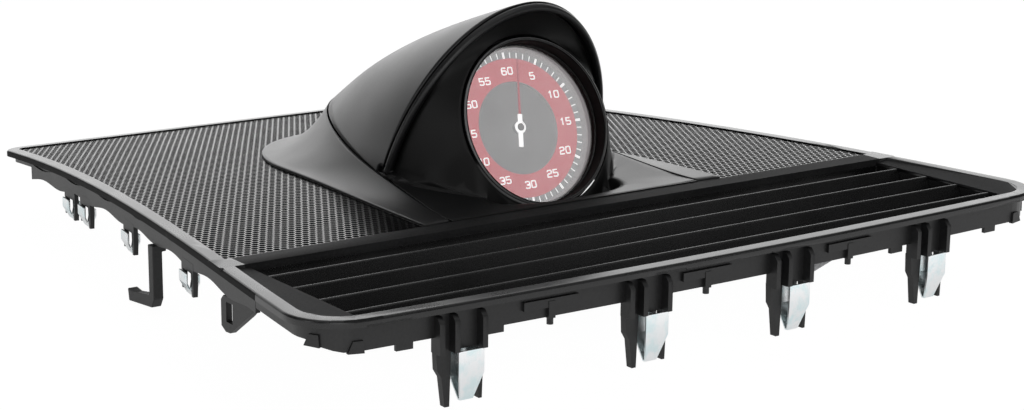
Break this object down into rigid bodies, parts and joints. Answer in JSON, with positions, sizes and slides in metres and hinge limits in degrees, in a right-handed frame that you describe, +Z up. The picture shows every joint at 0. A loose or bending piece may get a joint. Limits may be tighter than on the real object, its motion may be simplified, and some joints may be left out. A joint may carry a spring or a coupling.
{
  "type": "car dashboard clock",
  "caption": "Dashboard top panel with a hooded dial clock, a perforated grille, a slatted air vent and sprung clips underneath.",
  "frame": {"origin": "on the seat under the front rim, on the plane of symmetry", "axes": "+X to the right seen from the seats, +Y towards the windscreen, +Z up"},
  "size_m": [0.3772, 0.3956, 0.1256],
  "materials": {
    "trim_black": "fine-grained satin black moulding",
    "grille_black": "perforated black sheet",
    "vent_black": "matt black moulding",
    "rail_black": "plain black moulding",
    "hood_black": "satin black moulding",
    "bezel_black": "satin black ring",
    "spring_zinc": "zinc-plated spring steel",
    "screw_steel": "plated steel",
    "felt_grey": "light felt",
    "lens_clear": "clear polycarbonate",
    "dial_grey": "matt printed dial",
    "dial_red": "printed translucent red",
    "hand_white": "matt white",
    "needle_red": "fluorescent red",
    "gear_white": "acetal",
    "gear_steel": "steel wheel and arbor",
    "magnet": "sintered magnet",
    "bush_brass": "turned brass",
    "copper": "enamelled copper wire",
    "guide_clear": "clear acrylic",
    "led_white": "moulded lamp",
    "board_green": "glass-fibre board",
    "pin_brass": "tinned brass pins"
  },
  "bodies": {
    "panel": {"trim_frame": "trim_black", "mesh_sheet": "grille_black", "vent_well": "vent_black", "vent_slats": "vent_black", "front_rail": "rail_black", "left_rail": "rail_black", "right_rail": "rail_black", "rear_rail": "rail_black", "front_clips": "spring_zinc", "side_clips": "spring_zinc", "hooks": "rail_black", "slotted_brackets": "rail_black", "felt_tab": "felt_grey", "pod_carrier": "rail_black", "carrier_screws": "screw_steel", "shell_posts": "rail_black", "shell_screws": "screw_steel", "hood_base": "hood_black", "hood_shell": "hood_black", "hood_lip": "hood_black", "hood_liner": "hood_black", "clock_bezel": "bezel_black", "lens": "lens_clear", "rehaut": "dial_grey", "dial_plate": "dial_grey", "dial_ring": "dial_red", "dial_center": "dial_grey", "gear_pins": "screw_steel", "arbor_bush": "bush_brass", "movement_plate": "gear_white", "movement_cover": "gear_white", "stator_coils": "copper", "light_guide": "guide_clear", "leds": "led_white", "circuit_board": "board_green", "clock_case": "bezel_black", "back_cover": "bezel_black", "connector": "rail_black", "connector_pins": "pin_brass", "case_screws": "screw_steel", "clock_screws": "screw_steel"},
    "hand": {"hand_ring": "hand_white", "hand_pointer": "needle_red", "hand_boss": "bezel_black", "output_wheel": "gear_steel"},
    "idler": {"idler_wheel": "gear_white"},
    "rotor_body": {"rotor": "magnet"}
  },
  "joints": [
    {"name": "hand_spin", "type": "hinge", "parent": "panel", "child": "hand", "pos_m": [0, 0.14402, 0.02765], "axis": [0, -0.9298, 0.3681], "continuous": true},
    {"name": "idler_spin", "type": "hinge", "parent": "panel", "child": "idler", "pos_m": [0, 0.14816, 0.01095], "axis": [0, -0.9298, 0.3681], "continuous": true},
    {"name": "rotor_spin", "type": "hinge", "parent": "panel", "child": "rotor_body", "pos_m": [-0.014, 0.14816, 0.01095], "axis": [0, -0.9298, 0.3681], "continuous": true}
  ],
  "couplings": [
    {"joint": "idler_spin", "follows": "hand_spin", "ratio": -3},
    {"joint": "rotor_spin", "follows": "hand_spin", "ratio": 9}
  ]
}
